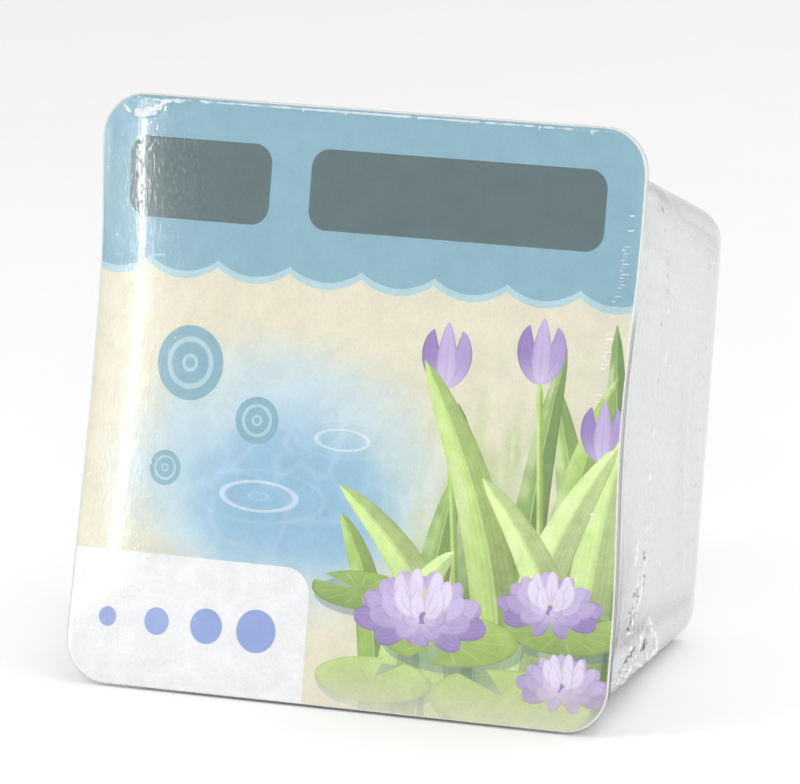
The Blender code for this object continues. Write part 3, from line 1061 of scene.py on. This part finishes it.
def right_side_painted_tones(deep, up):
    """Where the right side's film is painted dark as shade (below 0) or bright as highlight along its
    creases, as no smooth relief would show it.
    """
    folds = streaked(deep, up)
    broken = np.clip(0.5 + 1.5 * folds + 0.9 * crinkle(deep * 0.55, up, 0.9, 4.4), 0, 1.3)
    marks = np.zeros(len(deep))
    # Painted shade and painted highlight along the pucker's creases and the seam's dots
    for width, tone, *route in PUCKER:
        marks += tone * broken * near(deep, up, route, width, 0.8)
    # Painted highlight and shade: the crumpled film is flecked bright and dark
    flecks = 0.9 * folds + 0.35 * crinkle(deep * 0.6, up, 0.8, 9.2)
    flecks = np.sign(flecks) * held(np.abs(flecks) - 0.16)
    crumpled = np.maximum(0.9 * triangle_share(deep, up), near(deep, up, GATHERS, 6, 0.7))
    marks += np.where(flecks > 0, 0.8, 1.8) * flecks * crumpled
    # Painted highlight: a broad bright streak down the side near the base
    marks += 0.32 * near(deep, up, PAINTED_HIGHLIGHT_STREAK, 7, 1)
    away, along = from_path(deep, up, SEAM)
    # Painted dark dots along the seam, for its dark reflections
    specks = held(2.4 * crinkle(along, along * 0, 1.5, 6.6) - 0.25) * np.clip((up + 5) / 20, 0.15, 1)
    marks -= 1.1 * specks * bump(away, 1.3, 1)
    # Painted shade: a dark band on the film just behind the card's right edge, where the card's overhang
    # shades it
    shade_beside_card = held(1 - deep / SHADE_BESIDE_CARD_REACH) ** 1.2 * held((38 - up) / 14) * held((up + 69) / 4)
    return marks - 1.15 * shade_beside_card


def cloudy_share(deep, up):
    """How cloudy the heat left the film on the right side, from 0 to 1."""
    seam = 0.20 * near(deep, up, SEAM, 1.0, 1)
    gathers = 0.50 * near(deep, up, GATHERS, 6.5, 0.8)
    inside = 0.55 * triangle_share(deep, up)
    low = 0.78 * held((0.125 * deep - 50.5 - up) / 8)
    high = 0.78 * held((up - 60.5 + 0.165 * deep) / 4) * held((deep - 30) / 30)
    # The film is made milky just behind the card's right edge, to carry the painted shade there
    shade_beside_card = 0.50 * held(1.2 - deep / SHADE_BESIDE_CARD_REACH) * held((38 - up) / 14)
    return np.clip(np.maximum.reduce([seam, gathers, inside, low, high, shade_beside_card]), 0, 0.80)


def drawn_in(deep, across, up):
    """How far the shrinking pulled the sides in between the card and the pot, in millimetres."""
    hollow = 1.1 * bump(deep - 14, 15, 1.5) + 0.4 * bump(deep - 45, 45, 2)
    cornered = bump(np.abs(across) - np.abs(up), 27, 1) * held(deep / 13) ** 0.8
    low_right = held(across / 30) * held(-up / 30)
    spare = np.maximum(CLEAR_AT_CARD * (1 - deep / CLEAR_UNTIL) - KEPT_CLEAR, 0)
    return hollow + cornered * spare * (0.84 - 0.58 * low_right)


def curl_slope(across):
    """How steeply the curled card falls away to its left."""
    width = CARD_HALF - LEFT_CURL_STARTS
    return 2 * LEFT_CURL / width * held((-across - LEFT_CURL_STARTS) / width)


def left_ridge(across, up):
    """The lift of the film along the card's left edge, where the card itself hasn't curled."""
    edge, left, right, crest, end = RIDGE_SPAN
    line = np.linspace(edge, crest, 200)
    slope = curl_slope(line) * held((line - edge) / (left - edge))
    slope *= held((crest - line) / (crest - right))
    height = np.concatenate([[0], np.cumsum((slope[1:] + slope[:-1]) / 2 * np.diff(line))])
    lift = np.interp(across, line, height) * bump(np.maximum(across - crest, 0), end - crest, 2)
    uncurled = 1 - left_curl(across * 0 - CARD_HALF, up) / LEFT_CURL
    top = held((SNUG_HALF - up) / (SNUG_HALF - RIDGE_TOP)) ** 0.5
    foot = held((up - RIDGE_FOOT[1]) / (RIDGE_FOOT[0] - RIDGE_FOOT[1]))
    return lift * uncurled * top * foot


def front_relief(across, up):
    """How far the film's creases stand off the card's face, in millimetres, at a place in millimetres."""
    out = 0.12 * crinkle(across, up, 3.0, 9.1) * bump(across + 62, 18, 1) * held((up - 68) / 5)
    for start, end, width, height in CORNER_FOLDS:
        out += fold(across, up, start, end, width, height)
    return out


def front_painted_highlights(across, up):
    """Where the film over the card's face is painted bright as highlight along its creases, from 0 to about
    1.
    """
    marks = np.zeros(len(across))
    # Painted highlights: the dashes down the right edge and the short creases under the top edge
    for first_up, count, spacing, middle, strength in DASH_GROUPS:
        for index in range(count):
            height = first_up - spacing * index
            wobble = math.sin(index * 2.3 + first_up)
            half = 1.5 + 0.5 * wobble
            start = (middle + 0.5 * wobble - half, height)
            end = (middle + 0.5 * wobble + half, height + 0.15)
            marks += fold(across, up, start, end, 0.50, strength * (0.85 + 0.15 * math.sin(index * 1.7)))
    for side, length in TOP_CREASES:
        foot = (side - 0.45 * length, TOP_CREASES_FROM - length)
        marks += fold(across, up, (side, TOP_CREASES_FROM), foot, 0.45, 0.55)
    broken = np.clip(0.75 + 1.1 * crinkle(across, up * 1.6, 1.5, 3.3), 0.1, 1.2)
    # Painted highlight: bright strokes at the top left corner
    for start, end, width, strength in CORNER_STROKES:
        marks += strength * broken * near(across, up, (start, end), width, 0.8)
    # Painted highlight: a broken bright line along the film's top edge
    gleam = held(0.75 + 0.9 * crinkle(across, across * 0, 2.6, 2.9)) * bump(across - 4, 63, 0.3)
    return marks + 0.9 * gleam * bump(up - 74.1, 0.4, 0.7)


def creased(relief, first, second):
    """A relief's height, and how sharply it stands above what is just round it."""
    height = relief(first, second)
    ways = ((1, 0), (-1, 0), (0, 1), (0, -1))
    around = sum(relief(first + a * CREASE_STEP, second + b * CREASE_STEP) for a, b in ways)
    return height, height - around / 4


def open_vents(film):
    """Pierce the vent holes, each with the small raised lip that the hot pin left."""
    mesh = bmesh.from_edit_mesh(film.data)
    mesh.verts.ensure_lookup_table()
    places = np.array([vert.co for vert in mesh.verts])
    bpy.ops.mesh.select_mode(type="VERT")
    bpy.ops.mesh.select_all(action="DESELECT")
    for side in (-1, 1):
        for depth in VENT_DEPTHS:
            across = side * SNUG_HALF * float(taut_taper(depth))
            for index in range(VENT_COUNT):
                up = VENT_MIDDLE_UP + (index - (VENT_COUNT - 1) / 2) * VENT_PITCH
                hole = np.array((across, depth, up))
                nearest = mesh.verts[int(((places - hole) ** 2).sum(axis=1).argmin())]
                nearest.co = hole
                nearest.select_set(True)
    bmesh.update_edit_mesh(film.data)
    bpy.ops.mesh.bevel(affect="VERTICES", offset=VENT_RADIUS, segments=2, profile=0.5)
    bpy.ops.mesh.delete(type="FACE")
    select(film, "EDGE", lambda edge: edge.is_boundary)
    bpy.ops.transform.shrink_fatten(value=VENT_LIP)


def write_shares(film, name, shares):
    """Keep one number for each vertex, for the finish to read."""
    film.data.attributes.new(name, "FLOAT", "POINT").data.foreach_set("value", shares)


# Where the mesh over the card's face is halved: by its sides, by its top and dashes, then again in parts
FRONT_ZONES = (
    lambda x, z: (x < -0.046) | (x > 0.062),
    lambda x, z: (z > 0.0695) | ((x > 0.064) & (np.abs(z - 0.012) < 0.048)),
    lambda x, z: (np.abs(x - 0.0705) < 0.0035) & (np.abs(z - 0.012) < 0.046),
    lambda x, z: (np.abs(x + 0.0620) < 0.0060) & (z > 0.0685),
    lambda x, z: (x > -0.056) & (z > 0.0732),
)


def make_film():
    """The wrap: its blank, made finer where it is creased, pierced, and then pushed into its puckers."""
    film = film_blank()
    for wanted in (on_right_side, near_seam, most_crumpled):
        refine(film, wanted)
    for zone in FRONT_ZONES:
        refine(film, lambda x, y, z: (y < FRONT_SLACK - SNUG_FRONT) & zone(x, z))
    open_vents(film)
    select(film, "EDGE", lambda edge: edge.is_boundary)
    lips = np.array([vert.select for vert in bmesh.from_edit_mesh(film.data).verts])
    bpy.ops.object.mode_set(mode="OBJECT")
    places = places_of(film)
    normals = np.empty(len(places) * 3)
    film.data.vertex_normals.foreach_get("vector", normals)
    normals = normals.reshape(-1, 3)
    across, depth, up = places.T.copy()
    scale = taut_taper(depth)
    warp = card_back(across / scale, up / scale) * (1 - held(depth / SNUG_BASE_DEPTH))
    front = (depth < FRONT_SLACK - SNUG_FRONT) & (normals[:, 1] < -0.9)
    beside = (depth > -0.0001) & (depth < POT_DEPTH)
    at_ends = held(depth / 0.002) * held((POT_DEPTH - depth) / 0.004)
    deep_mm, across_mm, up_mm = depth / MILLIMETRE, across / MILLIMETRE, up / MILLIMETRE
    out = -drawn_in(deep_mm, across_mm, up_mm) * at_ends * beside
    # Painted highlight: the film is clouded pale round the card's edge, but not on the right side
    cloud = RIM_HIGHLIGHT_CLOUD * bump(depth + CARD_THICKNESS / 2, RIM_CLOUD_REACH, 0.5) * ~front
    cloud *= held(1 - normals[:, 0] * 3)
    # The crease tones: how sharply the relief stands, plus the marks, later painted as highlight and shade
    painted_crease_tones = np.zeros(len(places))
    right = (normals[:, 0] > 0.55) & beside
    turned = held((normals[right, 0] - 0.45) / 0.35)
    facing = turned * at_ends[right]
    height, stands = creased(right_side_relief, deep_mm[right], up_mm[right])
    marks = right_side_painted_tones(deep_mm[right], up_mm[right])
    out[right] += (height + MARK_RELIEF * marks) * facing
    painted_crease_tones[right] = (stands * at_ends[right] + MARK_CREASE * marks) * turned
    cloud[right] += cloudy_share(deep_mm[right], up_mm[right]) * turned
    cornered = bump(np.abs(across_mm) - np.abs(up_mm), 17, 0.7) * held((deep_mm - 25) / 25)
    cloud[beside] = np.maximum(cloud, 0.78 * cornered)[beside]
    others = beside & ~right
    waves = crinkle((across_mm + up_mm)[others], deep_mm[others] * 0.3, 9.0, 2.7)
    out[others] += 0.12 * waves * at_ends[others]
    height, stands = creased(front_relief, across_mm[front], up_mm[front])
    marks = front_painted_highlights(across_mm[front], up_mm[front])
    out[front] += height + 0.05 * crinkle(across_mm[front], up_mm[front], 26.0, 4.4) + MARK_RELIEF * marks
    painted_crease_tones[front] = stands + MARK_CREASE * marks
    # Painted highlight: a pale band along the card's left edge
    cloud[front] += 0.35 * bump(across_mm[front] + 75, 3.0, 1) * held((up_mm[front] - 30) / 25)
    places += normals * (out * MILLIMETRE)[:, None]
    places[:, 1] += warp - left_ridge(across, up) * front
    set_places(film, places)
    # The vents' lips are milky and toned a little dark from the same painted crease tones
    write_shares(film, "cloudy", np.where(lips, 0.9, cloud))
    write_shares(film, "crease_light_and_shade", np.where(lips, -0.10, painted_crease_tones))
    smooth_by_angle(film, 70)
    lean_back(film)
    return film


def film_finish():
    """Clear film: it mirrors most at a glancing angle and clouds where gathered, with painted highlight on
    sharp creases and painted shade in their valleys.
    """
    material, milky, place = new_finish("clear_film")
    cloudy = place.attribute("cloudy", 2)
    crease_light_and_shade = place.attribute("crease_light_and_shade", 2)
    grit = place.noise(2.6, 2.0, 0.6)
    # Painted highlight on sharp ridges and painted shade in creased valleys, read from the crease tones
    painted_highlight = crease_light_and_shade.ramp(0.020, 0.10)
    painted_shade = crease_light_and_shade.ramp(-0.030, -0.16)
    across = place.part(0)
    # Painted glints: milky specks round the strip light's reflection over the curled left edge
    specks = place.stretched(1.5, 0, 0.7).noise(1.0, 2.0, 0.5).ramp(0.54, 0.66)
    specks = specks * across.ramp(-26, -60) * across.ramp(-74.5, -66)
    haze = cloudy * grit.ramp(0.30, 0.60, 0.75, 1.0) + painted_highlight * 0.50 + painted_shade * (cloudy * 0.6 + 0.35)
    haze = haze + specks * GLINT_SPECK_HAZE
    # Painted shade darkens the milky tone in valleys; painted highlight whitens it on ridges
    tone = painted_shade.mix((0.76, 0.77, 0.77), (0.10, 0.105, 0.105))
    tone = painted_highlight.mix(tone, (0.93, 0.94, 0.94))
    set_sockets(milky, {"Base Color": tone, "Roughness": 0.35})
    clear = place.node("ShaderNodeBsdfTransparent", {}, {"Color": (0.985, 0.99, 0.99, 1)})
    body = place.node("ShaderNodeMixShader", {}, {0: haze.ramp(0.0, 1.0), 1: clear})
    place.tree.links.new(milky.outputs[0], body.socket.node.inputs[2])
    pebbled = place.stretched(0.55, 0.55, 0.28).noise(1.0, 3.0, 0.6)
    clinging = place.stretched(1.3, 0.6, 0.6).noise(1.0, 1.0, 0.5).ramp(0.52, 0.72) * across.ramp(-10, -40)
    texture = pebbled + clinging * FLECK_RELIEF
    gloss = {"Roughness": 0.05, "Normal": texture.bumps(0.000007)}
    mirror = place.node("ShaderNodeBsdfGlossy", {"distribution": "GGX"}, gloss)
    facing = place.node("ShaderNodeFresnel", {}, {"IOR": 1.62}).maths("MINIMUM", 0.40)
    film_face = place.node("ShaderNodeMixShader", {}, {0: facing * (1 - cloudy * 0.6), 1: body, 2: mirror})
    place.tree.links.new(film_face.socket, place.tree.nodes["Material Output"].inputs["Surface"])
    return material


film = make_film()
film.data.materials.append(film_finish())
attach(film, "root")
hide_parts("shrink_film")

# The pack is shown on a plain white floor in soft studio light, as in the photograph: four broad lights, a
# pale room, and a narrow strip light whose reflection runs down the film over the curled left edge.
FLOOR_SIZE = 14.0
LIGHTS_AIM_UP = 0.07
ROOM_BRIGHTNESS = 0.62
STRIP_AZIMUTH = -45.6
STRIP_ELEVATION = 18
STRIP_DISTANCE = 0.62
STRIP_HEIGHT = 0.53
# The strip light's core and the softer glow round it: width and brightness
STRIP_BANDS = ((0.012, 22.0), (0.03, 1.2), (0.06, 0.9), (0.11, 0.6), (0.22, 0.4))


def floor_finish():
    """A matt white sweep, barely mottled."""
    material, shader, place = new_finish("floor_white")
    mottle = place.noise(0.02, 2.0)
    tone = mottle.ramp(0.3, 0.7).mix((0.955, 0.955, 0.958), (0.965, 0.965, 0.966))
    set_sockets(shader, {"Base Color": tone, "Roughness": 0.7, "Specular IOR Level": 0.2})
    return material


def soft_box(name, azimuth, elevation, distance, width, height, brightness):
    """A rectangular light that faces the pack from a direction round it, in degrees, at a distance."""
    data = bpy.data.lights.new(name, "AREA")
    data.shape = "RECTANGLE"
    data.size = width
    data.size_y = height
    data.energy = brightness * math.pi * width * height
    light = bpy.data.objects.new(name, data)
    bpy.context.collection.objects.link(light)
    away = mathutils.Vector((0, -distance, 0))
    away.rotate(mathutils.Euler((math.radians(-elevation), 0, math.radians(azimuth))))
    light.location = mathutils.Vector((0, 0, LIGHTS_AIM_UP)) + away
    light.rotation_euler = away.to_track_quat("Z", "Y").to_euler()
    light.visible_camera = False


bpy.ops.object.select_all(action="DESELECT")
bpy.ops.mesh.primitive_plane_add(size=FLOOR_SIZE, location=(0, 0, 0))
floor = bpy.context.object
floor.name = "floor"
floor.data.materials.append(floor_finish())
# Each light: its azimuth and elevation in degrees, its distance, width and height, and its brightness
soft_box("front", 24, 17, 2.0, 1.0, 1.0, 4.0)
soft_box("key", -48, 50, 1.7, 0.7, 0.7, 1.2)
soft_box("side", 96, 36, 2.4, 3.2, 3.2, 0.67)
soft_box("overhead", 180, 72, 2.2, 1.5, 1.5, 1.4)
for width, brightness in STRIP_BANDS:
    distance = STRIP_DISTANCE + width / 10
    soft_box("strip", STRIP_AZIMUTH, STRIP_ELEVATION, distance, width, STRIP_HEIGHT, brightness)
studio = bpy.data.worlds.new("studio")
bpy.context.scene.world = studio
studio.use_nodes = True
room = {"Color": (1.0, 1.0, 1.0, 1.0), "Strength": ROOM_BRIGHTNESS}
set_sockets(studio.node_tree.nodes["Background"], room)
bpy.context.scene.view_settings.view_transform = "Standard"

# The camera stands where the photograph's perspective puts it. Its lens is given in pixels of the 800 by 784
# frame, and it is turned so that the middle of the pack falls where it is seen there.
CAMERA_AZIMUTH = math.radians(25.03)
CAMERA_ELEVATION = math.radians(12.37)
CAMERA_ROLL = math.radians(-0.58)
CAMERA_DISTANCE = 2.0916
FOCAL_PIXELS = 8185.7
IMAGE_WIDTH = 800
IMAGE_MIDDLE = (400, 392)
AIM_SEEN_AT = (429.04, 373.59)
AIM = mathutils.Vector((0, 0, 0.0742))
SENSOR = 36.0
FARTHEST_SEEN = 100
back = mathutils.Vector((
    math.sin(CAMERA_AZIMUTH) * math.cos(CAMERA_ELEVATION),
    -math.cos(CAMERA_AZIMUTH) * math.cos(CAMERA_ELEVATION),
    math.sin(CAMERA_ELEVATION),
))
level = mathutils.Vector((math.cos(CAMERA_AZIMUTH), math.sin(CAMERA_AZIMUTH), 0))
roll = mathutils.Matrix.Rotation(CAMERA_ROLL, 3, back)
right = roll @ level
up = roll @ back.cross(level)
per_pixel = CAMERA_DISTANCE / FOCAL_PIXELS
target = AIM + right * (IMAGE_MIDDLE[0] - AIM_SEEN_AT[0]) * per_pixel
target += up * (AIM_SEEN_AT[1] - IMAGE_MIDDLE[1]) * per_pixel
lens = bpy.data.cameras.new("camera")
lens.sensor_width = SENSOR
lens.lens = FOCAL_PIXELS / IMAGE_WIDTH * SENSOR
lens.clip_end = FARTHEST_SEEN
camera = bpy.data.objects.new("camera", lens)
bpy.context.collection.objects.link(camera)
turn = mathutils.Matrix((right, up, back)).transposed().to_4x4()
camera.matrix_world = mathutils.Matrix.Translation(target + back * CAMERA_DISTANCE) @ turn
bpy.context.scene.camera = camera
